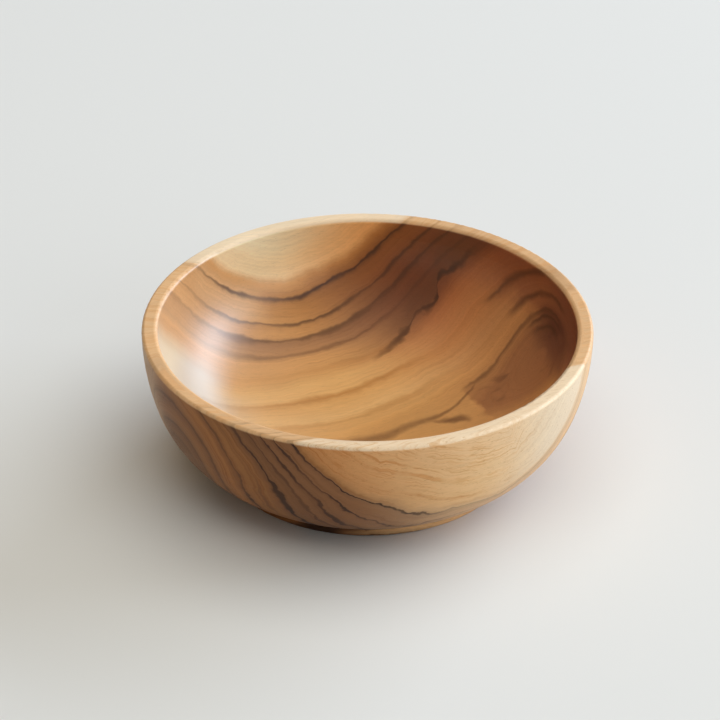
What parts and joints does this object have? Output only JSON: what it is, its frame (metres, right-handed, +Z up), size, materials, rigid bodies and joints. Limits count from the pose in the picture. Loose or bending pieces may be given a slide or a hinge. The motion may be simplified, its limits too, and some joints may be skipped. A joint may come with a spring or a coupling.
{
  "type": "wooden bowl",
  "caption": "Small round turned wooden bowl with an upright rim, a full belly and a low foot ring, to hold fruit, nuts, salad or small things.",
  "frame": {"origin": "centre of the foot ring's resting face, at the bottom of the bowl", "axes": "+Z up along the bowl's turning axis; the pictured front faces -Y"},
  "size_m": [0.15, 0.15, 0.051],
  "materials": {
    "bowl_wood": "striped brown hardwood under a clear satin coat",
    "foot_wood": "the same hardwood under a clear satin coat"
  },
  "bodies": {
    "root": {"bowl_body": "bowl_wood", "foot_ring": "foot_wood"}
  },
  "joints": []
}
